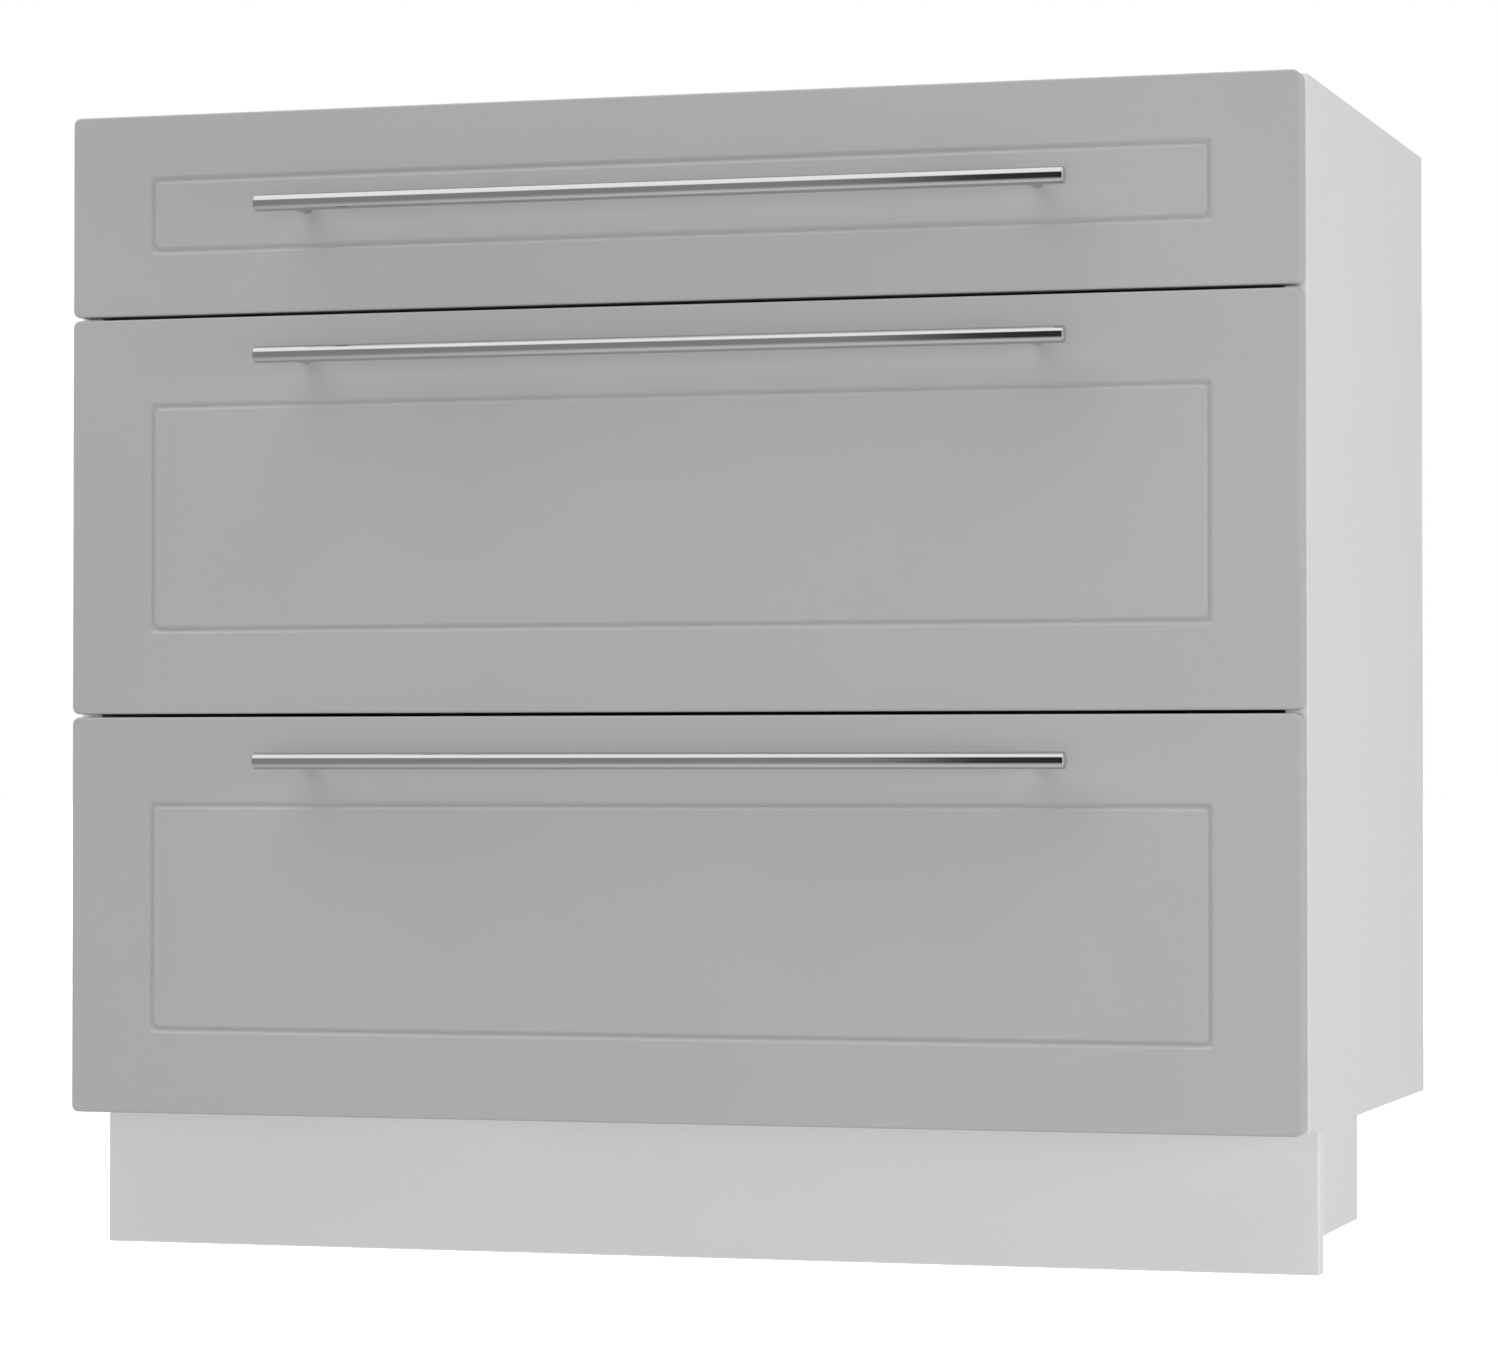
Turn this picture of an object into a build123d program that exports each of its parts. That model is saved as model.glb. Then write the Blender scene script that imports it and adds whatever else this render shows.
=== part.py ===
from build123d import *
import os

# Three-drawer base cabinet: a chipboard body on a plinth of boards, three drawers on
# full-extension ball-bearing slides, and a straight bar handle on each front.
#
# Frame, in millimetres: +X to the right as seen from the front, +Y to the back, +Z up.
# The origin lies on the floor, in the middle of the footprint, handles included.

# ------------------------------------------------------------------- driving sizes
BODY_WIDTH = 900.0
BODY_HEIGHT = 717.0
BODY_DEPTH = 488.0
BOARD = 16.0              # body boards
BOARD_EDGE = 0.8          # rounding of a banded edge

PLINTH_HEIGHT = 100.0
PLINTH_SETBACK = 67.0     # from the fronts' face to the plinth's face
PLINTH_WIDTH = 897.0
PLINTH_SIDE_INSET = 50.0  # from the front board's end to a side board's outer face
PLINTH_EDGE = 1.6

FRONT_WIDTH = 897.0
FRONT_THICKNESS = 18.0
FRONT_GAP = 2.0           # between the fronts and the body's front edges
FRONT_DROP = 1.0          # how far the lowest front hangs below the body
REVEAL = 2.4              # between two fronts
FRONT_CORNER = 5.0
FRONT_ROUND = 1.5         # rounding of the edges round the face
FRONT_BACK_ROUND = 0.5

LINE_WIDTH = 5.2          # the milled frame line, a wide vee with round lips
LINE_DEPTH = 1.9
LINE_SLOPE = 52.0         # degrees off square
LINE_LIP = 1.8
LINE_FOOT = 0.3
LINE_OUTER_CORNER = 3.0
LINE_INNER_CORNER = 3.0
LINE_SIDE_INSET = 62.5    # from the front's side edge to the line's middle

BAR_DIAMETER = 12.0
BAR_LENGTH = 588.0
BAR_REACH = 32.0          # from the fronts' face to the bar's axis
BAR_CHAMFER = 0.7
POST_SPACING = 535.0
POST_DIAMETER = 10.0
POST_NECK_DIAMETER = 8.0
POST_SOCKET = 3.0         # how deep a post's neck sits in the bar
POST_CLEARANCE = 0.5      # from a post's shoulder to the bar

BACK_THICKNESS = 3.0
BACK_INSET = 18.0         # from the body's rear edges to the back panel
BACK_GROOVE_DEPTH = 8.0
GROOVE_PLAY = 0.15        # on each face of a board in its groove
GROOVE_END_PLAY = 0.5

RAIL_DEPTH = 100.0
WORKTOP_HOLE_SPACING = 700.0
WORKTOP_HOLE_DIAMETER = 5.0

SLIDE_LENGTH = 450.0
SLIDE_SETBACK = 2.0       # from the body's front edge to the slides
SLIDE_RISE = 37.0         # from a drawer box's lower edge to its slides' middle
SLIDE_SHEET = 1.2
SLIDE_THICKNESS = 13.0    # from the side panel to the drawer box
CHANNEL_REACH = 10.8      # how far the two outer channels reach out of their webs' wall
CHANNEL_LIP = 3.0
CHANNEL_BEND = 1.4
OUTER_CHANNEL_HEIGHT = 45.7
MIDDLE_CHANNEL_HEIGHT = 35.3
INNER_CHANNEL_HEIGHT = 24.9
MIDDLE_WEB_AT = 4.3       # distances from the side panel's inner face
INNER_CHANNEL_MOUTH_AT = 7.2
CAGE_SHEET = 0.5
OUTER_CAGE_AT = 3.2
OUTER_CAGE_REACH = 9.0
INNER_CAGE_AT = 6.1
INNER_CAGE_REACH = 9.1
CAGE_LENGTH = 210.0
BALL_DIAMETER = 3.2
OUTER_BALLS_AT = 7.0
INNER_BALLS_AT = 7.6
OUTER_BALL_ROW = 19.65    # half the distance between two rows of balls
INNER_BALL_ROW = 14.45
BALLS_PER_ROW = 8
BALL_PITCH = 26.0

BOX_BOARD = 12.0          # drawer box boards
BOX_BOTTOM = 8.0
BOX_BOTTOM_RISE = 12.0    # from a box's lower edge to its bottom board
BOX_GROOVE_DEPTH = 6.0
BOX_EDGE = 0.6

# name, front height, frame line's height above the front's lower edge and below its upper
# edge, box rise above the front's lower edge, box height, handle height above that edge
DRAWERS = (
    ("bottom", 284.3, 60.4, 63.2, 27.0, 200.0, 252.7),
    ("middle", 284.3, 60.4, 63.2, 16.3, 200.0, 253.7),
    ("top", 144.6, 46.6, 46.9, 17.6, 90.0, 74.6),
)

# ----------------------------------------------------------------- worked-out places
TOTAL_DEPTH = BAR_DIAMETER / 2 + BAR_REACH + FRONT_THICKNESS + FRONT_GAP + BODY_DEPTH
BAR_Y = -TOTAL_DEPTH / 2 + BAR_DIAMETER / 2
FACE_Y = BAR_Y + BAR_REACH
FRONT_BACK_Y = FACE_Y + FRONT_THICKNESS
BODY_FRONT_Y = FRONT_BACK_Y + FRONT_GAP
BODY_BACK_Y = BODY_FRONT_Y + BODY_DEPTH
BODY_TOP_Z = PLINTH_HEIGHT + BODY_HEIGHT
BODY_SIDE_X = BODY_WIDTH / 2
WALL_X = BODY_SIDE_X - BOARD
INNER_WIDTH = 2 * WALL_X
BACK_REAR_Y = BODY_BACK_Y - BACK_INSET
BACK_FRONT_Y = BACK_REAR_Y - BACK_THICKNESS
BOTTOM_MID_Z = PLINTH_HEIGHT + BOARD / 2
RAIL_BOTTOM_Z = BODY_TOP_Z - BOARD
RAIL_MID_Z = BODY_TOP_Z - BOARD / 2
FRONT_RAIL_MID_Y = BODY_FRONT_Y + RAIL_DEPTH / 2
REAR_RAIL_MID_Y = BACK_FRONT_Y - RAIL_DEPTH / 2
PLINTH_FACE_Y = FACE_Y + PLINTH_SETBACK
PLINTH_INNER_Y = PLINTH_FACE_Y + BOARD
PLINTH_REAR_Y = BODY_BACK_Y - BOARD
PLINTH_SIDE_X = PLINTH_WIDTH / 2 - PLINTH_SIDE_INSET
PLINTH_WALL_X = PLINTH_SIDE_X - BOARD

SLIDE_FRONT_Y = BODY_FRONT_Y + SLIDE_SETBACK
SLIDE_BACK_Y = SLIDE_FRONT_Y + SLIDE_LENGTH
CAGE_FRONT_Y = SLIDE_FRONT_Y + (SLIDE_LENGTH - CAGE_LENGTH) / 2
BOX_X = WALL_X - SLIDE_THICKNESS
BOX_WALL_X = BOX_X - BOX_BOARD
BOX_FRONT_Y = FRONT_BACK_Y
BOX_INSIDE_Y = BOX_FRONT_Y + BOX_BOARD
BOX_BACK_Y = SLIDE_BACK_Y
BOX_DEPTH = BOX_BACK_Y - BOX_FRONT_Y
BOX_REAR_WALL_Y = BOX_BACK_Y - BOX_BOARD

# ------------------------------------------------------------------------- fittings
CAM_REACH = 34.0          # from a board's end to its cam's middle
CAM_DIAMETER = 15.0
CAM_DEPTH = 12.5
CAM_PLAY = 0.15
CAM_POCKET = 8.0
BOLT_HOLE_DIAMETER = 8.0
BOLT_SHAFT_DIAMETER = 6.0
BOLT_SHAFT_LENGTH = 26.0
BOLT_NECK_DIAMETER = 4.0
BOLT_NECK_LENGTH = 31.0
BOLT_HEAD_DIAMETER = 6.4
BOLT_LENGTH = 35.0
BOLT_THREAD_DIAMETER = 5.0
BOLT_THREAD_LENGTH = 11.0
DOWEL_DIAMETER = 8.0
DOWEL_IN_SIDE = 10.0
DOWEL_IN_BOARD = 20.0
FIT_PLAY = 0.1            # radial play of a fitting in its hole
END_PLAY = 0.5            # room past a fitting's end

SCREW_DIAMETER = 3.5
SCREW_HOLE_DIAMETER = 3.8
SCREW_CLEAR_DIAMETER = 4.4
SCREW_HEAD_DIAMETER = 7.0
SCREW_HEAD_HEIGHT = 1.6
SCREW_BITE = 12.0         # thread in the last board
RECESS_WIDTH = 0.9        # cross recess in a screw head
RECESS_LENGTH = 3.6
RECESS_DEPTH = 0.9
HANDLE_SCREW_DIAMETER = 4.0
HANDLE_SCREW_HOLE = 4.6
HANDLE_HEAD_DIAMETER = 8.0
HANDLE_HEAD_HEIGHT = 2.4
HANDLE_SCREW_BITE = 12.0  # thread in a post

BRACKET_LEG = 40.0
BRACKET_SHEET = 2.0
BRACKET_WIDTH = 18.0
BRACKET_HOLES = (15.0, 31.0)
BUMPER_DIAMETER = 8.0
BUMPER_HEIGHT = 1.8
BUMPER_INSET = 25.0

# places along the depth where bolts and dowels join each row of boards to the sides
BOTTOM_BOLTS = (BODY_FRONT_Y + 60.0, BODY_BACK_Y - 60.0)
BOTTOM_DOWELS = (BODY_FRONT_Y + 92.0, BODY_BACK_Y - 92.0)
RAIL_BOLTS = (BODY_FRONT_Y + 30.0, BACK_FRONT_Y - 30.0)
RAIL_DOWELS = (BODY_FRONT_Y + 70.0, BACK_FRONT_Y - 70.0)
BOLT_PLACES = [(y, BOTTOM_MID_Z) for y in BOTTOM_BOLTS] + [(y, RAIL_MID_Z) for y in RAIL_BOLTS]
DOWEL_PLACES = [(y, BOTTOM_MID_Z) for y in BOTTOM_DOWELS] + [(y, RAIL_MID_Z) for y in RAIL_DOWELS]
# places along a slide, from its front end, where it is screwed on
WALL_SCREWS = (35.0, 227.0, 387.0)
BOX_SCREWS = (51.0, 243.0, 403.0)
BRACKET_YS = (PLINTH_INNER_Y + 110.0, PLINTH_REAR_Y - 110.0)


def drawer_places():
    """Yield each drawer's name, front, frame line, box and handle heights, bottom to top."""
    front_z = PLINTH_HEIGHT - FRONT_DROP
    for name, height, line_rise, line_drop, box_rise, box_height, handle_rise in DRAWERS:
        line_zs = (front_z + line_rise, front_z + height - line_drop)
        yield name, front_z, height, line_zs, front_z + box_rise, box_height, front_z + handle_rise
        front_z = front_z + height + REVEAL


SLIDE_ZS = [box_z + SLIDE_RISE for _, _, _, _, box_z, _, _ in drawer_places()]

os.makedirs("parts", exist_ok=True)


# ------------------------------------------------------------------- shared features
def level(z):
    """A flat plane at height z: its own X and Y are the cabinet's."""
    return Plane.XY.offset(z)


def upright(y):
    """A plane across the cabinet at depth y, facing the front: its own X and Y are X and Z."""
    return Plane.XZ.offset(-y)


def lengthwise(x):
    """A plane along the cabinet's side at x, facing +X: its own X and Y are Y and Z."""
    return Plane.YZ.offset(x)


def board(x_span, y_span, z_span, rounding):
    """A board between three pairs of faces, with slightly rounded edges."""
    width = x_span[1] - x_span[0]
    depth = y_span[1] - y_span[0]
    with BuildSketch(level(z_span[0])) as outline:
        with Locations((x_span[0] + width / 2, y_span[0] + depth / 2)):
            Rectangle(width, depth)
    block = extrude(outline.sketch, amount=z_span[1] - z_span[0])
    fillet(block.edges(), rounding)


def slot(plane, middle, width, height, amount):
    """Cut a straight-sided recess of the given depth."""
    with BuildSketch(plane) as outline:
        with Locations(middle):
            Rectangle(width, height)
    extrude(outline.sketch, amount=amount, mode=Mode.SUBTRACT)


def pegs(plane, places, diameter, amount, mode=Mode.ADD):
    """Add, or cut, round pegs that stand on a plane."""
    with BuildSketch(plane) as outline:
        with Locations(*places):
            Circle(diameter / 2)
    extrude(outline.sketch, amount=amount, mode=mode)


def holes(plane, places, diameter, amount):
    """Cut round holes of the given depth."""
    pegs(plane, places, diameter, amount, mode=Mode.SUBTRACT)


def screws(plane, places, out, length, diameter=SCREW_DIAMETER, head=SCREW_HEAD_DIAMETER,
           head_height=SCREW_HEAD_HEIGHT):
    """Pan-head screws: heads stand on the plane towards out (+1 or -1), shanks go the other way."""
    pegs(plane, places, head, out * head_height)
    pegs(plane, places, diameter, -out * length)
    with BuildSketch(plane.offset(out * head_height)) as recess:
        with Locations(*places):
            Rectangle(RECESS_LENGTH, RECESS_WIDTH)
            Rectangle(RECESS_WIDTH, RECESS_LENGTH)
    extrude(recess.sketch, amount=-out * RECESS_DEPTH, mode=Mode.SUBTRACT)


def channel(web_x, mouth_x, z, height, lip=0.0):
    """A bent-sheet channel as long as a slide: web at web_x, open at mouth_x."""
    way = 1 if mouth_x > web_x else -1
    reach = abs(mouth_x - web_x)
    middle_x = (web_x + mouth_x) / 2
    with BuildSketch(upright(SLIDE_FRONT_Y)) as section:
        with Locations((middle_x, z)):
            Rectangle(reach, height)
        bends = section.vertices().group_by(Axis.X)[0 if way > 0 else -1]
        fillet(bends, CHANNEL_BEND)
        with Locations((middle_x + way * SLIDE_SHEET, z)):
            Rectangle(reach, height - 2 * SLIDE_SHEET, mode=Mode.SUBTRACT)
        if lip:
            lip_z = height / 2 - SLIDE_SHEET - lip / 2
            with Locations((mouth_x - way * SLIDE_SHEET / 2, z + lip_z),
                           (mouth_x - way * SLIDE_SHEET / 2, z - lip_z)):
                Rectangle(SLIDE_SHEET, lip)
    extrude(section.sketch, amount=-SLIDE_LENGTH)


def ball_cage(web_x, mouth_x, balls_x, z, row):
    """A thin strip bent round two edges, each of which holds a row of balls."""
    height = 2 * row + CAGE_SHEET
    with BuildSketch(upright(CAGE_FRONT_Y)) as section:
        with Locations(((web_x + mouth_x) / 2, z)):
            Rectangle(mouth_x - web_x, height)
        with Locations(((web_x + mouth_x) / 2 + CAGE_SHEET, z)):
            Rectangle(mouth_x - web_x, height - 2 * CAGE_SHEET, mode=Mode.SUBTRACT)
    extrude(section.sketch, amount=-CAGE_LENGTH)
    first_y = CAGE_FRONT_Y + (CAGE_LENGTH - (BALLS_PER_ROW - 1) * BALL_PITCH) / 2
    ys = [first_y + turn * BALL_PITCH for turn in range(BALLS_PER_ROW)]
    with Locations(*[(balls_x, y, z + side * row) for y in ys for side in (-1, 1)]):
        Sphere(BALL_DIAMETER / 2)


# ------------------------------------------------------------------------ the body
with BuildPart() as side_panel_left:
    board((-BODY_SIDE_X, -WALL_X), (BODY_FRONT_Y, BODY_BACK_Y), (PLINTH_HEIGHT, BODY_TOP_Z), BOARD_EDGE)
    groove_z = PLINTH_HEIGHT + BOARD / 2
    slot(
        lengthwise(-WALL_X),
        (BACK_FRONT_Y + BACK_THICKNESS / 2, (groove_z + BODY_TOP_Z) / 2),
        BACK_THICKNESS + 2 * GROOVE_PLAY,
        BODY_TOP_Z - groove_z,
        -BACK_GROOVE_DEPTH,
    )
    holes(lengthwise(-WALL_X), BOLT_PLACES, BOLT_THREAD_DIAMETER, -BOLT_THREAD_LENGTH - END_PLAY)
    holes(lengthwise(-WALL_X), DOWEL_PLACES, DOWEL_DIAMETER, -DOWEL_IN_SIDE - END_PLAY)
    wall_screw_places = [(SLIDE_FRONT_Y + along, z) for along in WALL_SCREWS for z in SLIDE_ZS]
    holes(lengthwise(-WALL_X), wall_screw_places, SCREW_HOLE_DIAMETER, -SCREW_BITE - END_PLAY)
side_panel_left.part.label = "side_panel_left"
export_step(side_panel_left.part, "parts/side_panel_left.step")

with BuildPart() as side_panel_right:
    mirror(side_panel_left.part, about=Plane.YZ)
side_panel_right.part.label = "side_panel_right"
export_step(side_panel_right.part, "parts/side_panel_right.step")


def cross_board_joints(bolt_ys, dowel_ys, middle_z):
    """Drill both ends of a cross board for bolts and dowels, and its underside for cams."""
    cams = [(side * (WALL_X - CAM_REACH), y) for side in (-1, 1) for y in bolt_ys]
    holes(level(middle_z - BOARD / 2), cams, CAM_DIAMETER, CAM_DEPTH + END_PLAY)
    for side in (-1, 1):
        end = lengthwise(side * WALL_X)
        holes(end, [(y, middle_z) for y in bolt_ys], BOLT_HOLE_DIAMETER, -side * CAM_REACH)
        holes(end, [(y, middle_z) for y in dowel_ys], DOWEL_DIAMETER, -side * (DOWEL_IN_BOARD + END_PLAY))


with BuildPart() as bottom_panel:
    board((-WALL_X, WALL_X), (BODY_FRONT_Y, BODY_BACK_Y), (PLINTH_HEIGHT, PLINTH_HEIGHT + BOARD), BOARD_EDGE)
    cross_board_joints(BOTTOM_BOLTS, BOTTOM_DOWELS, BOTTOM_MID_Z)
    slot(
        level(PLINTH_HEIGHT + BOARD),
        (0, BACK_FRONT_Y + BACK_THICKNESS / 2),
        INNER_WIDTH,
        BACK_THICKNESS + 2 * GROOVE_PLAY,
        -BACK_GROOVE_DEPTH,
    )
    bracket_screw_places = [
        (side * (PLINTH_WALL_X - along), y)
        for side in (-1, 1)
        for along in BRACKET_HOLES
        for y in BRACKET_YS
    ]
    holes(level(PLINTH_HEIGHT), bracket_screw_places, SCREW_HOLE_DIAMETER, SCREW_BITE + END_PLAY)
bottom_panel.part.label = "bottom_panel"
export_step(bottom_panel.part, "parts/bottom_panel.step")

for rail_name, rail_y, bolt_y, dowel_y in (
    ("front_rail", FRONT_RAIL_MID_Y, RAIL_BOLTS[0], RAIL_DOWELS[0]),
    ("rear_rail", REAR_RAIL_MID_Y, RAIL_BOLTS[1], RAIL_DOWELS[1]),
):
    with BuildPart() as rail:
        board(
            (-WALL_X, WALL_X),
            (rail_y - RAIL_DEPTH / 2, rail_y + RAIL_DEPTH / 2),
            (RAIL_BOTTOM_Z, BODY_TOP_Z),
            BOARD_EDGE,
        )
        cross_board_joints((bolt_y,), (dowel_y,), RAIL_MID_Z)
        worktop_holes = [(side * WORKTOP_HOLE_SPACING / 2, rail_y) for side in (-1, 1)]
        holes(level(BODY_TOP_Z), worktop_holes, WORKTOP_HOLE_DIAMETER, -BOARD)
    rail.part.label = rail_name
    export_step(rail.part, f"parts/{rail_name}.step")

with BuildPart() as back_panel:
    back_half = WALL_X + BACK_GROOVE_DEPTH - GROOVE_END_PLAY
    back_foot = PLINTH_HEIGHT + BOARD - BACK_GROOVE_DEPTH + GROOVE_END_PLAY
    with BuildSketch(upright(BACK_REAR_Y)):
        with Locations((0, (back_foot + BODY_TOP_Z) / 2)):
            Rectangle(2 * back_half, BODY_TOP_Z - back_foot)
    extrude(amount=BACK_THICKNESS)
back_panel.part.label = "back_panel"
export_step(back_panel.part, "parts/back_panel.step")

# ---------------------------------------------------------------------- the plinth
CORNER_SCREW_Z = PLINTH_HEIGHT / 2
UPRIGHT_SCREW_ZS = [PLINTH_HEIGHT - along for along in BRACKET_HOLES]
SIDE_CORNER_SCREW_YS = [PLINTH_INNER_Y + along for along in BRACKET_HOLES]
SIDE_CORNER_SCREW_YS += [PLINTH_REAR_Y - along for along in BRACKET_HOLES]
SIDE_SCREW_PLACES = [(y, CORNER_SCREW_Z) for y in SIDE_CORNER_SCREW_YS]
SIDE_SCREW_PLACES += [(y, z) for y in BRACKET_YS for z in UPRIGHT_SCREW_ZS]
CROSS_SCREW_PLACES = [
    (side * (PLINTH_WALL_X - along), CORNER_SCREW_Z) for side in (-1, 1) for along in BRACKET_HOLES
]

with BuildPart() as plinth_front_board:
    board(
        (-PLINTH_WIDTH / 2, PLINTH_WIDTH / 2),
        (PLINTH_FACE_Y, PLINTH_INNER_Y),
        (0.0, PLINTH_HEIGHT),
        PLINTH_EDGE,
    )
    holes(upright(PLINTH_INNER_Y), CROSS_SCREW_PLACES, SCREW_HOLE_DIAMETER, SCREW_BITE + END_PLAY)
plinth_front_board.part.label = "plinth_front_board"
export_step(plinth_front_board.part, "parts/plinth_front_board.step")

with BuildPart() as plinth_left_board:
    board((-PLINTH_SIDE_X, -PLINTH_WALL_X), (PLINTH_INNER_Y, BODY_BACK_Y), (0.0, PLINTH_HEIGHT), BOARD_EDGE)
    holes(lengthwise(-PLINTH_WALL_X), SIDE_SCREW_PLACES, SCREW_HOLE_DIAMETER, -SCREW_BITE - END_PLAY)
plinth_left_board.part.label = "plinth_left_board"
export_step(plinth_left_board.part, "parts/plinth_left_board.step")

with BuildPart() as plinth_right_board:
    mirror(plinth_left_board.part, about=Plane.YZ)
plinth_right_board.part.label = "plinth_right_board"
export_step(plinth_right_board.part, "parts/plinth_right_board.step")

with BuildPart() as plinth_rear_board:
    board((-PLINTH_WALL_X, PLINTH_WALL_X), (PLINTH_REAR_Y, BODY_BACK_Y), (0.0, PLINTH_HEIGHT), BOARD_EDGE)
    holes(upright(PLINTH_REAR_Y), CROSS_SCREW_PLACES, SCREW_HOLE_DIAMETER, -SCREW_BITE - END_PLAY)
plinth_rear_board.part.label = "plinth_rear_board"
export_step(plinth_rear_board.part, "parts/plinth_rear_board.step")


def bracket(plane, corner, ways, width):
    """An angle bracket: two legs from a corner on a plane, centred on it, with two holes each."""
    x, y = corner
    to_x, to_y = ways
    with BuildSketch(plane.offset(-width / 2)) as section:
        with Locations((x + to_x * BRACKET_LEG / 2, y + to_y * BRACKET_SHEET / 2)):
            Rectangle(BRACKET_LEG, BRACKET_SHEET)
        with Locations((x + to_x * BRACKET_SHEET / 2, y + to_y * BRACKET_LEG / 2)):
            Rectangle(BRACKET_SHEET, BRACKET_LEG)
    extrude(section.sketch, amount=width)


with BuildPart() as plinth_brackets:
    # corner brackets, flat on their edges in plan
    bracket(level(CORNER_SCREW_Z), (-PLINTH_WALL_X, PLINTH_INNER_Y), (1, 1), BRACKET_WIDTH)
    bracket(level(CORNER_SCREW_Z), (-PLINTH_WALL_X, PLINTH_REAR_Y), (1, -1), BRACKET_WIDTH)
    # brackets between a side board and the bottom panel
    for bracket_y in BRACKET_YS:
        bracket(upright(bracket_y), (-PLINTH_WALL_X, PLINTH_HEIGHT), (1, -1), BRACKET_WIDTH)
    mirror(about=Plane.YZ)
    for side in (-1, 1):
        holes(
            lengthwise(side * PLINTH_WALL_X),
            SIDE_SCREW_PLACES,
            SCREW_CLEAR_DIAMETER,
            -side * BRACKET_SHEET,
        )
    holes(upright(PLINTH_INNER_Y), CROSS_SCREW_PLACES, SCREW_CLEAR_DIAMETER, -BRACKET_SHEET)
    holes(upright(PLINTH_REAR_Y), CROSS_SCREW_PLACES, SCREW_CLEAR_DIAMETER, BRACKET_SHEET)
    holes(level(PLINTH_HEIGHT), bracket_screw_places, SCREW_CLEAR_DIAMETER, -BRACKET_SHEET)
plinth_brackets.part.label = "plinth_brackets"
export_step(plinth_brackets.part, "parts/plinth_brackets.step")

with BuildPart() as bracket_screws:
    shank = BRACKET_SHEET + SCREW_BITE
    screws(upright(PLINTH_INNER_Y + BRACKET_SHEET), CROSS_SCREW_PLACES, -1, shank)
    screws(upright(PLINTH_REAR_Y - BRACKET_SHEET), CROSS_SCREW_PLACES, 1, shank)
    screws(level(PLINTH_HEIGHT - BRACKET_SHEET), bracket_screw_places, -1, shank)
    for side in (-1, 1):
        screws(lengthwise(side * (PLINTH_WALL_X - BRACKET_SHEET)), SIDE_SCREW_PLACES, -side, shank)
bracket_screws.part.label = "bracket_screws"
export_step(bracket_screws.part, "parts/bracket_screws.step")

# --------------------------------------------------------------- the body's fittings
with BuildPart() as cam_bolts:
    wall = lengthwise(-WALL_X)
    pegs(wall, BOLT_PLACES, BOLT_THREAD_DIAMETER - 2 * FIT_PLAY, -BOLT_THREAD_LENGTH)
    pegs(wall, BOLT_PLACES, BOLT_SHAFT_DIAMETER, BOLT_SHAFT_LENGTH)
    pegs(wall, BOLT_PLACES, BOLT_NECK_DIAMETER, BOLT_NECK_LENGTH)
    pegs(wall.offset(BOLT_NECK_LENGTH), BOLT_PLACES, BOLT_HEAD_DIAMETER, BOLT_LENGTH - BOLT_NECK_LENGTH)
    mirror(about=Plane.YZ)
cam_bolts.part.label = "cam_bolts"
export_step(cam_bolts.part, "parts/cam_bolts.step")

with BuildPart() as cam_locks:
    cam_x = -WALL_X + CAM_REACH
    for cam_ys, board_z in ((BOTTOM_BOLTS, PLINTH_HEIGHT), (RAIL_BOLTS, RAIL_BOTTOM_Z)):
        cam_places = [(cam_x, y) for y in cam_ys]
        pegs(level(board_z), cam_places, CAM_DIAMETER - 2 * CAM_PLAY, CAM_DEPTH)
        for cam_y in cam_ys:
            slot(
                lengthwise(cam_x - CAM_DIAMETER / 2),
                (cam_y, board_z + BOARD / 2),
                CAM_POCKET,
                CAM_POCKET,
                CAM_DIAMETER / 2 + BOLT_LENGTH - CAM_REACH + END_PLAY,
            )
            slot(level(board_z), (cam_x, cam_y), CAM_POCKET, RECESS_WIDTH, RECESS_DEPTH)
            slot(level(board_z), (cam_x, cam_y), RECESS_WIDTH, CAM_POCKET, RECESS_DEPTH)
    mirror(about=Plane.YZ)
cam_locks.part.label = "cam_locks"
export_step(cam_locks.part, "parts/cam_locks.step")

with BuildPart() as wooden_dowels:
    start = lengthwise(-WALL_X - DOWEL_IN_SIDE)
    pegs(start, DOWEL_PLACES, DOWEL_DIAMETER - 2 * FIT_PLAY, DOWEL_IN_SIDE + DOWEL_IN_BOARD)
    mirror(about=Plane.YZ)
wooden_dowels.part.label = "wooden_dowels"
export_step(wooden_dowels.part, "parts/wooden_dowels.step")

with BuildPart() as front_bumpers:
    bumper_places = [
        (side * (BODY_SIDE_X - BOARD / 2), z)
        for side in (-1, 1)
        for _, front_z, height, _, _, _, _ in drawer_places()
        for z in (front_z + BUMPER_INSET, front_z + height - BUMPER_INSET)
    ]
    pegs(upright(BODY_FRONT_Y), bumper_places, BUMPER_DIAMETER, BUMPER_HEIGHT)
    fillet(front_bumpers.faces().filter_by(Axis.Y).group_by(Axis.Y)[0].edges(), BUMPER_HEIGHT / 3)
front_bumpers.part.label = "front_bumpers"
export_step(front_bumpers.part, "parts/front_bumpers.step")

# ---------------------------------------------------- the slides' fixed members
with BuildPart() as cabinet_slide_members:
    for slide_z in SLIDE_ZS:
        channel(-WALL_X, -WALL_X + CHANNEL_REACH, slide_z, OUTER_CHANNEL_HEIGHT, CHANNEL_LIP)
    holes(lengthwise(-WALL_X), wall_screw_places, SCREW_CLEAR_DIAMETER, SLIDE_SHEET)
    # spare upright slots beside the screws, for setting the height
    for slide_z in SLIDE_ZS:
        for along in WALL_SCREWS:
            slot(
                lengthwise(-WALL_X),
                (SLIDE_FRONT_Y + along + 16.0, slide_z),
                SCREW_CLEAR_DIAMETER,
                2 * SCREW_CLEAR_DIAMETER,
                SLIDE_SHEET,
            )
    mirror(about=Plane.YZ)
cabinet_slide_members.part.label = "cabinet_slide_members"
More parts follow.
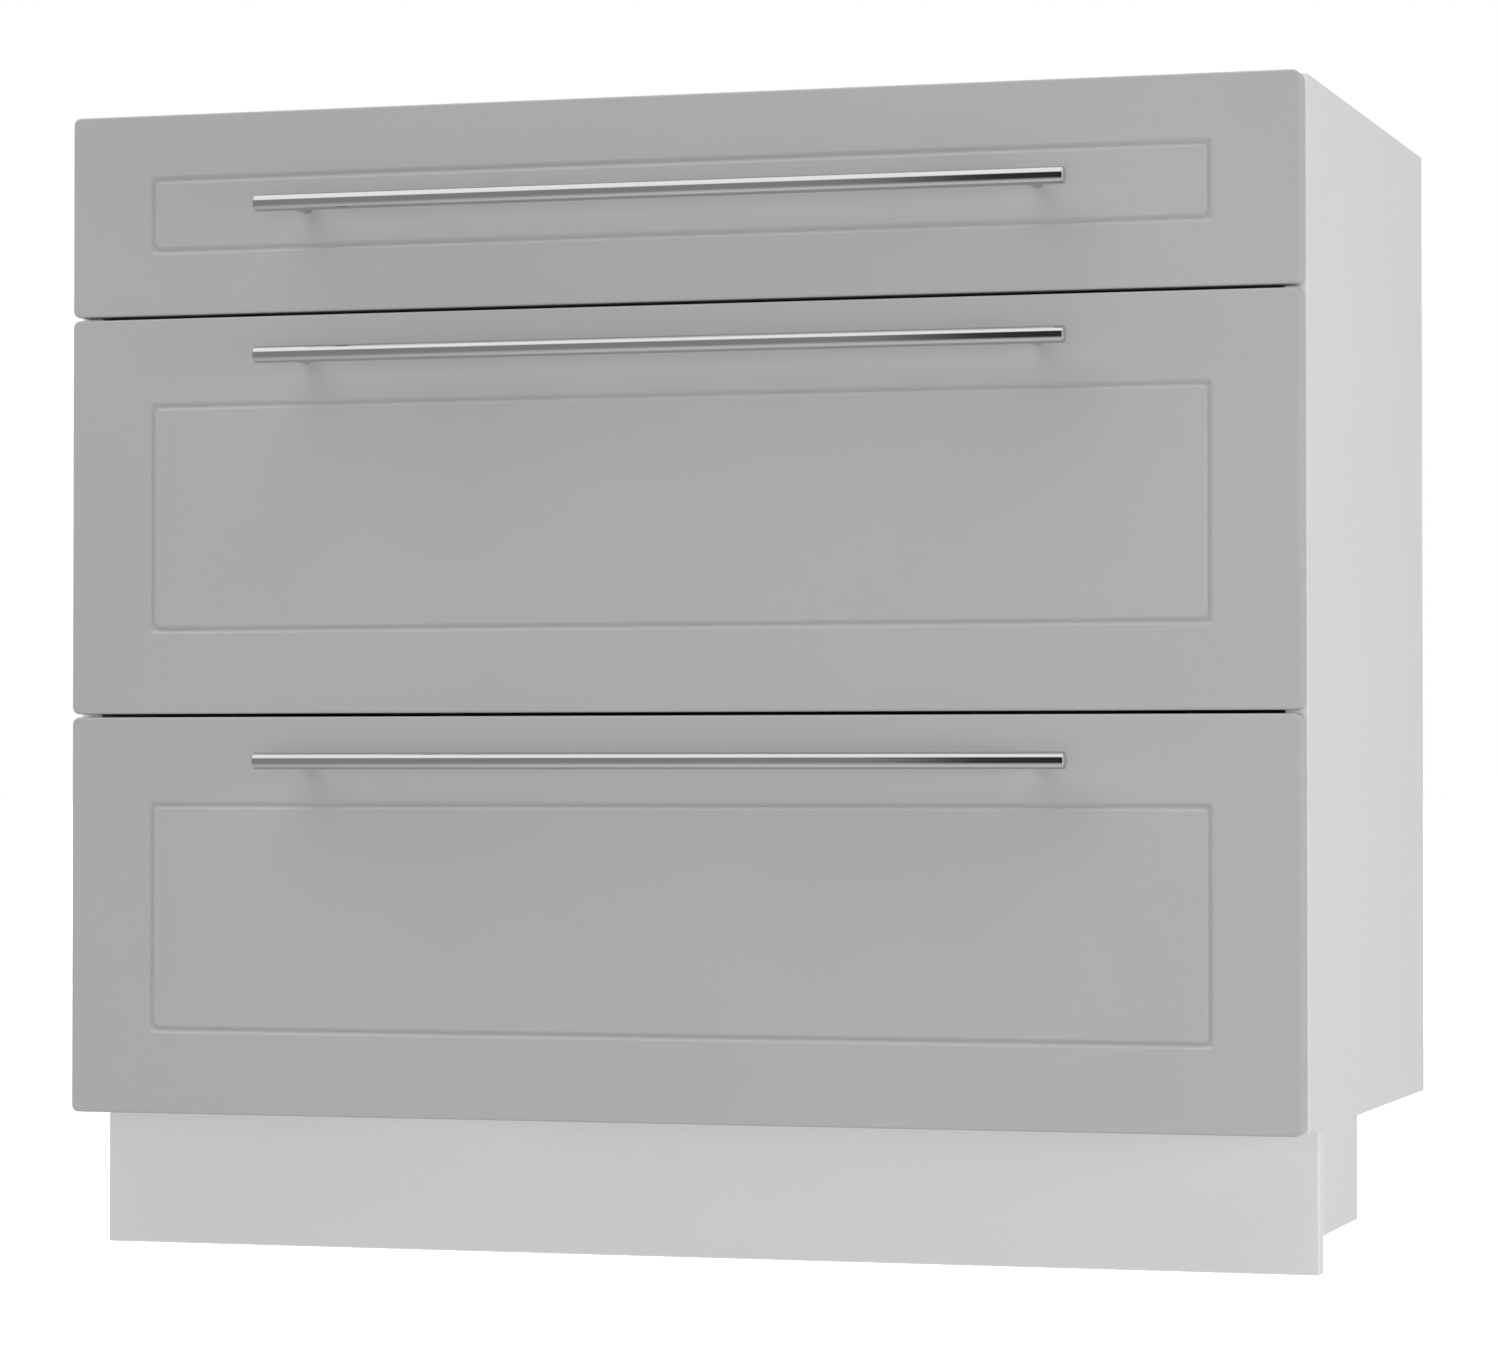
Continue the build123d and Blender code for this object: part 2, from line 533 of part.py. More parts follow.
export_step(cabinet_slide_members.part, "parts/cabinet_slide_members.step")

with BuildPart() as slide_screws:
    screws(lengthwise(-WALL_X + SLIDE_SHEET), wall_screw_places, 1, SLIDE_SHEET + SCREW_BITE)
    mirror(about=Plane.YZ)
slide_screws.part.label = "slide_screws"
export_step(slide_screws.part, "parts/slide_screws.step")


# --------------------------------------------------------------------- the drawers
def make_front(name, front_z, height, line_zs, screw_places, handle_z):
    """A visible front: rounded edges, a milled line round its field, drilled from behind."""
    line_width = FRONT_WIDTH - 2 * LINE_SIDE_INSET
    line_height = line_zs[1] - line_zs[0]
    with BuildPart() as front:
        with BuildSketch(upright(FACE_Y)):
            with Locations((0, front_z + height / 2)):
                RectangleRounded(FRONT_WIDTH, height, FRONT_CORNER)
        extrude(amount=-FRONT_THICKNESS)
        with BuildSketch(upright(FACE_Y)):
            with Locations((0, (line_zs[0] + line_zs[1]) / 2)):
                RectangleRounded(line_width + LINE_WIDTH, line_height + LINE_WIDTH, LINE_OUTER_CORNER)
                RectangleRounded(
                    line_width - LINE_WIDTH,
                    line_height - LINE_WIDTH,
                    LINE_INNER_CORNER,
                    mode=Mode.SUBTRACT,
                )
        extrude(amount=-LINE_DEPTH, taper=LINE_SLOPE, mode=Mode.SUBTRACT)
        faces = front.faces().filter_by(Axis.Y).group_by(Axis.Y)[0]
        border = [face for face in faces if face.inner_wires()][0]
        field = [face for face in faces if not face.inner_wires()][0]
        lips = border.inner_wires()[0].edges() + field.outer_wire().edges()
        fillet(lips, LINE_LIP)
        floor = front.faces().filter_by(Axis.Y).group_by(Axis.Y)[1][0]
        fillet(floor.edges(), LINE_FOOT)
        faces = front.faces().filter_by(Axis.Y).group_by(Axis.Y)[0]
        border = [face for face in faces if face.inner_wires()][0]
        fillet(border.outer_wire().edges(), FRONT_ROUND)
        rear = front.faces().filter_by(Axis.Y).sort_by(Axis.Y)[-1]
        fillet(rear.outer_wire().edges(), FRONT_BACK_ROUND)
        holes(upright(FRONT_BACK_Y), screw_places, SCREW_HOLE_DIAMETER, SCREW_BITE + END_PLAY)
        handle_places = [(side * POST_SPACING / 2, handle_z) for side in (-1, 1)]
        holes(upright(FACE_Y), handle_places, HANDLE_SCREW_HOLE, -FRONT_THICKNESS)
    front.part.label = f"front_{name}"
    export_step(front.part, f"parts/front_{name}.step")


def make_box(name, box_z, height, front_screws, corner_zs, handle_places):
    """A drawer box: front and back between the sides, the bottom in grooves."""
    top_z = box_z + height
    bottom_z = box_z + BOX_BOTTOM_RISE
    groove_z = bottom_z + BOX_BOTTOM / 2
    groove_height = BOX_BOTTOM + 2 * GROOVE_PLAY
    slide_z = box_z + SLIDE_RISE
    sink = SCREW_HEAD_HEIGHT + 2 * FIT_PLAY
    front_corners = [(BOX_FRONT_Y + BOX_BOARD / 2, z) for z in corner_zs]
    back_corners = [(BOX_BACK_Y - BOX_BOARD / 2, z) for z in corner_zs[1:]]
    member_screws = [(SLIDE_FRONT_Y + along, slide_z) for along in BOX_SCREWS]
    bottom_screws = [(x, BOX_BACK_Y - BOX_BOARD / 2) for x in (-BOX_X * 0.7, 0.0, BOX_X * 0.7)]
    corner_bite = 2 * SCREW_BITE

    with BuildPart() as box_front:
        board((-BOX_WALL_X, BOX_WALL_X), (BOX_FRONT_Y, BOX_INSIDE_Y), (box_z, top_z), BOX_EDGE)
        slot(upright(BOX_INSIDE_Y), (0, groove_z), 2 * BOX_WALL_X, groove_height, BOX_GROOVE_DEPTH)
        holes(upright(BOX_INSIDE_Y), front_screws, SCREW_CLEAR_DIAMETER, BOX_BOARD)
        if handle_places:
            holes(upright(BOX_INSIDE_Y), handle_places, HANDLE_SCREW_HOLE, BOX_BOARD)
        for side in (-1, 1):
            depth = -side * (corner_bite + END_PLAY)
            holes(lengthwise(side * BOX_WALL_X), front_corners, SCREW_HOLE_DIAMETER, depth)
    box_front.part.label = f"box_front_{name}"
    export_step(box_front.part, f"parts/box_front_{name}.step")

    with BuildPart() as box_back:
        back_z = bottom_z + BOX_BOTTOM
        board((-BOX_WALL_X, BOX_WALL_X), (BOX_REAR_WALL_Y, BOX_BACK_Y), (back_z, top_z), BOX_EDGE)
        holes(level(back_z), bottom_screws, SCREW_HOLE_DIAMETER, SCREW_BITE + END_PLAY)
        for side in (-1, 1):
            depth = -side * (corner_bite + END_PLAY)
            holes(lengthwise(side * BOX_WALL_X), back_corners, SCREW_HOLE_DIAMETER, depth)
    box_back.part.label = f"box_back_{name}"
    export_step(box_back.part, f"parts/box_back_{name}.step")

    with BuildPart() as box_left:
        board((-BOX_X, -BOX_WALL_X), (BOX_FRONT_Y, BOX_BACK_Y), (box_z, top_z), BOX_EDGE)
        slot(
            lengthwise(-BOX_WALL_X),
            ((BOX_FRONT_Y + BOX_BACK_Y) / 2, groove_z),
            BOX_DEPTH,
            groove_height,
            -BOX_GROOVE_DEPTH,
        )
        outside = lengthwise(-BOX_X)
        holes(outside, front_corners + back_corners, SCREW_CLEAR_DIAMETER, BOX_BOARD)
        holes(outside, front_corners + back_corners, SCREW_HEAD_DIAMETER + 4 * FIT_PLAY, sink)
        holes(outside, member_screws, SCREW_HOLE_DIAMETER, BOX_BOARD * 0.8)
    box_left.part.label = f"box_left_{name}"
    export_step(box_left.part, f"parts/box_left_{name}.step")

    with BuildPart() as box_right:
        mirror(box_left.part, about=Plane.YZ)
    box_right.part.label = f"box_right_{name}"
    export_step(box_right.part, f"parts/box_right_{name}.step")

    with BuildPart() as box_bottom:
        tongue = BOX_GROOVE_DEPTH - GROOVE_END_PLAY
        board(
            (-BOX_WALL_X - tongue, BOX_WALL_X + tongue),
            (BOX_INSIDE_Y - tongue, BOX_BACK_Y),
            (bottom_z, bottom_z + BOX_BOTTOM),
            BOX_EDGE,
        )
        holes(level(bottom_z), bottom_screws, SCREW_CLEAR_DIAMETER, BOX_BOTTOM)
    box_bottom.part.label = f"box_bottom_{name}"
    export_step(box_bottom.part, f"parts/box_bottom_{name}.step")

    with BuildPart() as box_screws:
        screws(upright(BOX_INSIDE_Y), front_screws, -1, BOX_BOARD + SCREW_BITE)
        screws(level(bottom_z), bottom_screws, -1, BOX_BOTTOM + SCREW_BITE)
        for side in (-1, 1):
            corner_plane = lengthwise(side * (BOX_X - sink))
            screws(corner_plane, front_corners + back_corners, side, BOX_BOARD - sink + corner_bite)
            member_plane = lengthwise(side * (BOX_X + SLIDE_SHEET))
            screws(member_plane, member_screws, side, SLIDE_SHEET + BOX_BOARD * 0.75)
    box_screws.part.label = f"box_screws_{name}"
    export_step(box_screws.part, f"parts/box_screws_{name}.step")

    with BuildPart() as drawer_slide_members:
        web_x = -WALL_X + SLIDE_THICKNESS
        channel(web_x, -WALL_X + INNER_CHANNEL_MOUTH_AT, slide_z, INNER_CHANNEL_HEIGHT)
        holes(lengthwise(web_x), member_screws, SCREW_CLEAR_DIAMETER, -SLIDE_SHEET)
        for along in BOX_SCREWS:
            place = (SLIDE_FRONT_Y + along - 16.0, slide_z)
            slot(lengthwise(web_x), place, 2 * SCREW_CLEAR_DIAMETER, SCREW_CLEAR_DIAMETER, -SLIDE_SHEET)
        mirror(about=Plane.YZ)
    drawer_slide_members.part.label = f"drawer_slide_members_{name}"
    export_step(drawer_slide_members.part, f"parts/drawer_slide_members_{name}.step")


def make_running_gear(name, slide_z):
    """The members and ball cages that run between a drawer's and the cabinet's channels."""
    with BuildPart() as middle_slide_members:
        web_x = -WALL_X + MIDDLE_WEB_AT
        channel(web_x, -WALL_X + CHANNEL_REACH, slide_z, MIDDLE_CHANNEL_HEIGHT, CHANNEL_LIP)
        # windows that let a screwdriver reach the fixed member's screws
        for along in WALL_SCREWS:
            place = (SLIDE_FRONT_Y + along, slide_z)
            slot(lengthwise(web_x), place, 3 * SCREW_HEAD_DIAMETER, 2 * SCREW_HEAD_DIAMETER, SLIDE_SHEET)
        mirror(about=Plane.YZ)
    middle_slide_members.part.label = f"middle_slide_members_{name}"
    export_step(middle_slide_members.part, f"parts/middle_slide_members_{name}.step")

    with BuildPart() as outer_ball_cages:
        ball_cage(
            -WALL_X + OUTER_CAGE_AT,
            -WALL_X + OUTER_CAGE_REACH,
            -WALL_X + OUTER_BALLS_AT,
            slide_z,
            OUTER_BALL_ROW,
        )
        mirror(about=Plane.YZ)
    outer_ball_cages.part.label = f"outer_ball_cages_{name}"
    export_step(outer_ball_cages.part, f"parts/outer_ball_cages_{name}.step")

    with BuildPart() as inner_ball_cages:
        ball_cage(
            -WALL_X + INNER_CAGE_AT,
            -WALL_X + INNER_CAGE_REACH,
            -WALL_X + INNER_BALLS_AT,
            slide_z,
            INNER_BALL_ROW,
        )
        mirror(about=Plane.YZ)
    inner_ball_cages.part.label = f"inner_ball_cages_{name}"
    export_step(inner_ball_cages.part, f"parts/inner_ball_cages_{name}.step")


def make_handle(name, handle_z, screw_head_y):
    """A bar on two posts, held by machine screws from inside the drawer."""
    post_places = [(side * POST_SPACING / 2, handle_z) for side in (-1, 1)]
    bar_rear_y = BAR_Y + BAR_DIAMETER / 2
    socket_y = bar_rear_y - POST_SOCKET
    shoulder_y = bar_rear_y + POST_CLEARANCE

    with BuildPart() as handle_bar:
        with BuildSketch(lengthwise(-BAR_LENGTH / 2)):
            with Locations((BAR_Y, handle_z)):
                Circle(BAR_DIAMETER / 2)
        extrude(amount=BAR_LENGTH)
        chamfer(handle_bar.edges().filter_by(GeomType.CIRCLE), BAR_CHAMFER)
        holes(upright(FACE_Y), post_places, POST_NECK_DIAMETER + 2 * FIT_PLAY, FACE_Y - socket_y)
    handle_bar.part.label = f"handle_bar_{name}"
    export_step(handle_bar.part, f"parts/handle_bar_{name}.step")

    with BuildPart() as handle_posts:
        pegs(upright(FACE_Y), post_places, POST_DIAMETER, FACE_Y - shoulder_y)
        pegs(upright(FACE_Y), post_places, POST_NECK_DIAMETER, FACE_Y - socket_y)
        thread = HANDLE_SCREW_DIAMETER + 2 * FIT_PLAY
        holes(upright(FACE_Y), post_places, thread, HANDLE_SCREW_BITE + END_PLAY)
    handle_posts.part.label = f"handle_posts_{name}"
    export_step(handle_posts.part, f"parts/handle_posts_{name}.step")

    with BuildPart() as handle_screws:
        screws(
            upright(screw_head_y),
            post_places,
            -1,
            screw_head_y - FACE_Y + HANDLE_SCREW_BITE,
            HANDLE_SCREW_DIAMETER,
            HANDLE_HEAD_DIAMETER,
            HANDLE_HEAD_HEIGHT,
        )
    handle_screws.part.label = f"handle_screws_{name}"
    export_step(handle_screws.part, f"parts/handle_screws_{name}.step")


for name, front_z, front_height, line_zs, box_z, box_height, handle_z in drawer_places():
    shallow = front_height < FRONT_WIDTH / 4
    screw_rows = (box_z + box_height / 2,) if shallow else (box_z + 45.0, box_z + box_height - 40.0)
    screw_columns = (-340.0, -110.0, 110.0, 340.0) if shallow else (-340.0, 340.0)
    front_screws = [(x, z) for x in screw_columns for z in screw_rows]
    corner_zs = [box_z + 6.0, box_z + box_height - 12.0]
    if not shallow:
        corner_zs.insert(1, box_z + box_height * 0.55)
    screw_behind_box = handle_z < box_z + box_height
    post_places = [(side * POST_SPACING / 2, handle_z) for side in (-1, 1)]

    make_front(name, front_z, front_height, line_zs, front_screws, handle_z)
    make_box(name, box_z, box_height, front_screws, corner_zs, post_places if screw_behind_box else [])
    make_running_gear(name, box_z + SLIDE_RISE)
    make_handle(name, handle_z, BOX_INSIDE_Y if screw_behind_box else FRONT_BACK_Y)
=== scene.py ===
"""Dresses the three-drawer base cabinet: a finish for every part, turned bars and a pale studio."""

import math

import bmesh
import bpy
from mathutils import Matrix, Vector


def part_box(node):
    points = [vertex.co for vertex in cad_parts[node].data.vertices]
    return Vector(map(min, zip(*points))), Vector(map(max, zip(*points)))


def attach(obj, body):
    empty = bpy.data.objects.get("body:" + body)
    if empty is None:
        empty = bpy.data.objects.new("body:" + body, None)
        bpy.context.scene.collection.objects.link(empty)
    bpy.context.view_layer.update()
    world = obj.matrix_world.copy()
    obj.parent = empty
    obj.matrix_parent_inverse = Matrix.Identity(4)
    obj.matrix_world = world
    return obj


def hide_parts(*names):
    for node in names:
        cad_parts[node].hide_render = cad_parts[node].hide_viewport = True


bl_info = {
    "name": "Base cabinet with drawers",
    "version": (1, 0, 0),
    "blender": (4, 5, 0),
    "location": "3D View > Sidebar > Cabinet",
    "description": "Finishes, bar handles and studio for a three-drawer base cabinet",
    "category": "Object",
}

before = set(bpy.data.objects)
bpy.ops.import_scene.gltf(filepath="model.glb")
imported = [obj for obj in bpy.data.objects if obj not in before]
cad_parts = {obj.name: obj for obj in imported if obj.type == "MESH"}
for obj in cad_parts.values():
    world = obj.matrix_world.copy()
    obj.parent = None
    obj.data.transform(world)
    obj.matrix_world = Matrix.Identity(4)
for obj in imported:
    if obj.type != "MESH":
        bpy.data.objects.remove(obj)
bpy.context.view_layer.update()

DRAWERS = ("top", "middle", "bottom")
SIDE_PANELS = ("side_panel_left", "side_panel_right")
BODY_BOARDS = (*SIDE_PANELS, "bottom_panel", "front_rail", "rear_rail")
PLINTH_BOARDS = ("plinth_front_board", "plinth_left_board", "plinth_right_board",
                 "plinth_rear_board")
SLIDE_MEMBERS = ("drawer_slide_members", "middle_slide_members")
BALL_CAGES = ("outer_ball_cages", "inner_ball_cages")

BAR_LOW, BAR_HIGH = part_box("handle_bar_top")
BAR_DIAMETER = BAR_HIGH.z - BAR_LOW.z
SHARPEST_SMOOTH_EDGE = math.radians(28.0)

# How closely a grain repeats along x, y and z, in cells a metre: a low number is the way it runs
HAIRLINES_ALONG_BAR = (14.0, 2400.0, 2400.0)
FOIL_GRAIN_ACROSS = (9.0, 420.0, 420.0)
FOIL_GRAIN_DEEP = (420.0, 9.0, 420.0)
BOTTOM_GRAIN_DEEP = (260.0, 7.0, 260.0)
DRAWN_DEEP = (900.0, 12.0, 900.0)
DRAWN_ACROSS = (12.0, 900.0, 900.0)
DRAWN_EVENLY = (700.0, 700.0, 700.0)
PRESSED_FIBRES = (240.0, 60.0, 700.0)
BEECH_GRAIN = (90.0, 900.0, 900.0)
BEECH_FLECKS = (400.0, 2600.0, 2600.0)
# Pores are drawn out upwards
TALL_PORES = (1.0, 1.0, 0.35)

# The studio, in metres: a sun lamp's direction runs from the cabinet's middle to the lamp
CABINET_MIDDLE = Vector((0.0, 0.0, 0.4))
KEY_DIRECTION = Vector((-0.65, -0.65, 0.97))
TOP_DIRECTION = Vector((0.0, -0.15, 1.0))
TOP_SPREAD = math.radians(50.0)
FRONT_DIRECTION = Vector((0.1, -1.0, -0.05))
FRONT_SPREAD = math.radians(40.0)
SIDE_LIGHT_PLACE = Vector((2.9, -1.2, 0.3))
SIDE_LIGHT_SIZE = 1.4
STRAIGHT_UP = Vector((0.0, 0.0, 1.0))
STRAIGHT_IN_FRONT = Vector((0.0, -1.0, 0.0))
FLOOR_RADIUS = 60.0
FLOOR_SEGMENTS = 96

CAMERA_PLACE = (1.0607, -3.5654, 0.3420)
CAMERA_YAW = math.radians(16.694)
CAMERA_PITCH = math.radians(1.162)
LENS_MM = 120.53
SENSOR_MM = 36.0

# What the polished bars reflect. An edge has two places: where one brightness starts to give
# way to the next, and where it is gone. They are the direction's part to the right or up, from
# -1 to 1, or its heading from straight in front, in radians.
WALL = 0.335
DARK_END = 0.03
DARK_END_EDGE = (-0.267, -0.240)
RIGHT_WALL = 0.85
RIGHT_WALL_HEADING = (0.6, 0.9)
LEFT_WALL = 0.60
LEFT_WALL_HEADING = (-0.75, -0.95)
GROUND_LEFT = 0.62
GROUND_RIGHT = 0.765
GROUND_SIDE_EDGE = (-0.38, -0.30)
GROUND_EDGE = (-0.93, -0.38)
CEILING = 1.32
CEILING_EDGE = (0.70, 0.91)
CEILING_LEAN = -0.60

# Where the even light from below gives way to the one from above, by the direction's height
FILL_EDGE = (-0.3, 0.3)
# Tells metal seen straight on from metal that lights a board: no diffuse bounce, or one and more
FIRST_DIFFUSE_BOUNCE = 0.5


# Shader helpers


def add_node(tree, kind, settings=None, **inputs):
    """A shader node with its settings and its unlinked inputs."""
    node = tree.nodes.new(kind)
    for key, value in (settings or {}).items():
        setattr(node, key, value)
    for key, value in inputs.items():
        node.inputs[key.replace("_", " ")].default_value = value
    return node


def feed(tree, value, socket):
    """Sets a socket to a number, or links another socket to it."""
    if isinstance(value, float):
        socket.default_value = value
    else:
        tree.links.new(value, socket)


def maths(tree, operation, *values):
    """The result of a calculation on numbers and sockets."""
    node = add_node(tree, "ShaderNodeMath", {"operation": operation})
    for value, socket in zip(values, node.inputs):
        feed(tree, value, socket)
    return node.outputs["Value"]


def smooth_step(tree, value, start, end):
    """Goes smoothly from 0 at start to 1 at end."""
    node = add_node(tree, "ShaderNodeMapRange", {"interpolation_type": "SMOOTHSTEP"},
                    From_Min=start, From_Max=end)
    tree.links.new(value, node.inputs["Value"])
    return node.outputs["Result"]


def blended(tree, factor, first, second):
    """A brightness between two others: each may be a number or a socket."""
    node = add_node(tree, "ShaderNodeMix", {"data_type": "FLOAT"})
    tree.links.new(factor, node.inputs["Factor"])
    feed(tree, first, node.inputs["A"])
    feed(tree, second, node.inputs["B"])
    return node.outputs["Result"]


def new_finish(name, **principled):
    """An empty finish: its material, node tree, surface shader and place in metres."""
    material = bpy.data.materials.new(name)
    material.use_nodes = True
    tree = material.node_tree
    tree.nodes.clear()
    output = tree.nodes.new("ShaderNodeOutputMaterial")
    shader = add_node(tree, "ShaderNodeBsdfPrincipled", **principled)
    tree.links.new(shader.outputs["BSDF"], output.inputs["Surface"])
    place = tree.nodes.new("ShaderNodeTexCoord").outputs["Object"]
    return material, tree, shader, place


def stretched(tree, place, scale):
    """The place, scaled along each axis, so that a pattern runs longer one way."""
    mapping = add_node(tree, "ShaderNodeMapping", Scale=scale)
    tree.links.new(place, mapping.inputs["Vector"])
    return mapping.outputs["Vector"]


def noise(tree, place, scale, detail=2.0, roughness=0.5):
    """A soft random pattern from 0 to 1."""
    node = add_node(tree, "ShaderNodeTexNoise", Scale=scale, Detail=detail, Roughness=roughness)
    tree.links.new(place, node.inputs["Vector"])
    return node.outputs["Fac"]


def spread(tree, value, low, high, from_low=0.3, from_high=0.7):
    """A pattern's value, spread over the range from low to high."""
    node = add_node(tree, "ShaderNodeMapRange", From_Min=from_low, From_Max=from_high,
                    To_Min=low, To_Max=high)
    tree.links.new(value, node.inputs["Value"])
    return node.outputs["Result"]


def two_tone(tree, value, first, second):
    """A colour that goes from first to second with the pattern."""
    node = add_node(tree, "ShaderNodeMix", {"data_type": "RGBA"}, A=(*first, 1.0),
                    B=(*second, 1.0))
    tree.links.new(value, node.inputs["Factor"])
    return node.outputs["Result"]


def relief(tree, heights, shader):
    """Raises the surface by several patterns, each with its depth in metres and its strength."""
    normal = None
    for height, depth, strength in heights:
        bump = add_node(tree, "ShaderNodeBump", Strength=strength, Distance=depth)
        tree.links.new(height, bump.inputs["Height"])
        if normal is not None:
            tree.links.new(normal, bump.inputs["Normal"])
        normal = bump.outputs["Normal"]
    tree.links.new(normal, shader.inputs["Normal"])


def shade(colour, factor):
    """A colour made lighter or darker by a factor."""
    return tuple(min(1.0, channel * factor) for channel in colour)


# Finishes


def melamine_finish(name, colour):
    """White faced chipboard: a fine pearl emboss, faintly uneven, with a gloss that varies."""
    material, tree, shader, place = new_finish(name, IOR=1.5)
    cloud = noise(tree, place, scale=9.0, detail=3.0)
    pearl = noise(tree, place, scale=1300.0, detail=2.0, roughness=0.6)
    pores = noise(tree, stretched(tree, place, TALL_PORES), scale=420.0, detail=3.0,
                  roughness=0.65)
    tree.links.new(two_tone(tree, spread(tree, cloud, 0.0, 1.0), shade(colour, 0.982), colour),
                   shader.inputs["Base Color"])
    tree.links.new(spread(tree, pores, 0.40, 0.52), shader.inputs["Roughness"])
    relief(tree, [(cloud, 0.0006, 0.10), (pores, 0.00004, 0.25), (pearl, 0.00003, 0.35)], shader)
    return material


def hardboard_finish(name, colour):
    """Lacquered hardboard: short pressed fibres under a thin white coat."""
    material, tree, shader, place = new_finish(name, IOR=1.5)
    fibres = noise(tree, stretched(tree, place, PRESSED_FIBRES), scale=1.0, detail=4.0,
                   roughness=0.7)
    cloud = noise(tree, place, scale=14.0, detail=3.0)
    tree.links.new(two_tone(tree, spread(tree, fibres, 0.0, 1.0), shade(colour, 0.95), colour),
                   shader.inputs["Base Color"])
    tree.links.new(spread(tree, cloud, 0.50, 0.62), shader.inputs["Roughness"])
    relief(tree, [(cloud, 0.0008, 0.12), (fibres, 0.00006, 0.35)], shader)
    return material


def lacquer_finish(name, colour, roughness):
    """Satin lacquer on fibreboard: a soft orange peel, an even colour and a thin clear top."""
    material, tree, shader, place = new_finish(name, IOR=1.48, Coat_Weight=0.12,
                                               Coat_Roughness=0.32)
    cloud = noise(tree, place, scale=6.0, detail=3.0)
    peel = noise(tree, place, scale=330.0, detail=2.0, roughness=0.45)
    dust = noise(tree, place, scale=1500.0, detail=2.0, roughness=0.6)
    tree.links.new(two_tone(tree, spread(tree, cloud, 0.0, 1.0), shade(colour, 0.985),
                            shade(colour, 1.012)), shader.inputs["Base Color"])
    tree.links.new(spread(tree, peel, roughness - 0.035, roughness + 0.035),
                   shader.inputs["Roughness"])
    relief(tree, [(cloud, 0.0005, 0.10), (peel, 0.00003, 0.30), (dust, 0.00001, 0.30)], shader)
    return material


def foil_finish(name, colour, grain):
    """Foil-wrapped board: a fine grain pressed into the foil, running along the board."""
    material, tree, shader, place = new_finish(name, IOR=1.49)
    lines = noise(tree, stretched(tree, place, grain), scale=1.0, detail=5.0, roughness=0.62)
    cloud = noise(tree, place, scale=8.0, detail=2.0)
    tree.links.new(two_tone(tree, spread(tree, lines, 0.0, 1.0), shade(colour, 0.955), colour),
                   shader.inputs["Base Color"])
    tree.links.new(spread(tree, lines, 0.46, 0.36), shader.inputs["Roughness"])
    relief(tree, [(cloud, 0.0005, 0.10), (lines, 0.00008, 0.30)], shader)
    return material


def polished_finish(name, colour, grain, roughness):
    """Finely polished steel: faint hairlines along the part, and a slightly uneven shine."""
    material, tree, shader, place = new_finish(name, Metallic=1.0)
    lines = noise(tree, stretched(tree, place, grain), scale=1.0, detail=4.0, roughness=0.7)
    cloud = noise(tree, place, scale=30.0, detail=3.0)
    tree.links.new(two_tone(tree, spread(tree, lines, 0.0, 1.0), shade(colour, 0.96),
                            shade(colour, 1.03)), shader.inputs["Base Color"])
    shine = maths(tree, "ADD", spread(tree, lines, roughness - 0.02, roughness + 0.02),
                  spread(tree, cloud, -0.015, 0.015))
    tree.links.new(shine, shader.inputs["Roughness"])
    relief(tree, [(lines, 0.000003, 0.15)], shader)
    return material


def plated_finish(name, colour, grain, roughness):
    """Zinc-plated steel: faint crystal patches over drawn lines."""
    material, tree, shader, place = new_finish(name, Metallic=1.0)
    patches = add_node(tree, "ShaderNodeTexVoronoi", {"feature": "SMOOTH_F1"}, Scale=260.0,
                       Smoothness=0.6)
    tree.links.new(place, patches.inputs["Vector"])
    crystals = patches.outputs["Distance"]
    lines = noise(tree, stretched(tree, place, grain), scale=1.0, detail=3.0, roughness=0.6)
    tree.links.new(two_tone(tree, spread(tree, crystals, 0.0, 1.0, from_low=0.15, from_high=0.75),
                            shade(colour, 1.05), shade(colour, 0.88)),
                   shader.inputs["Base Color"])
    tree.links.new(spread(tree, lines, roughness - 0.05, roughness + 0.07),
                   shader.inputs["Roughness"])
    relief(tree, [(crystals, 0.00003, 0.15), (lines, 0.00003, 0.20)], shader)
    return material


def cast_finish(name, colour):
    """Die-cast zinc: dull and finely grainy."""
    material, tree, shader, place = new_finish(name, Metallic=1.0)
    grains = noise(tree, place, scale=2600.0, detail=3.0, roughness=0.7)
    cloud = noise(tree, place, scale=160.0, detail=2.0)
    tree.links.new(two_tone(tree, spread(tree, cloud, 0.0, 1.0), shade(colour, 0.86),
                            shade(colour, 1.05)), shader.inputs["Base Color"])
    tree.links.new(spread(tree, grains, 0.38, 0.55), shader.inputs["Roughness"])
    relief(tree, [(grains, 0.00003, 0.5)], shader)
    return material


def beech_finish(name, colour):
    """Beech: short darker flecks along the grain."""
    material, tree, shader, place = new_finish(name, IOR=1.45)
    grain = noise(tree, stretched(tree, place, BEECH_GRAIN), scale=1.0, detail=4.0,
                  roughness=0.65)
    flecks = noise(tree, stretched(tree, place, BEECH_FLECKS), scale=1.0, detail=2.0,
                   roughness=0.5)
    tree.links.new(two_tone(tree, spread(tree, grain, 0.0, 1.0), shade(colour, 0.78),
                            shade(colour, 1.12)), shader.inputs["Base Color"])
    tree.links.new(spread(tree, flecks, 0.55, 0.75), shader.inputs["Roughness"])
    relief(tree, [(grain, 0.00010, 0.4), (flecks, 0.00004, 0.4)], shader)
    return material


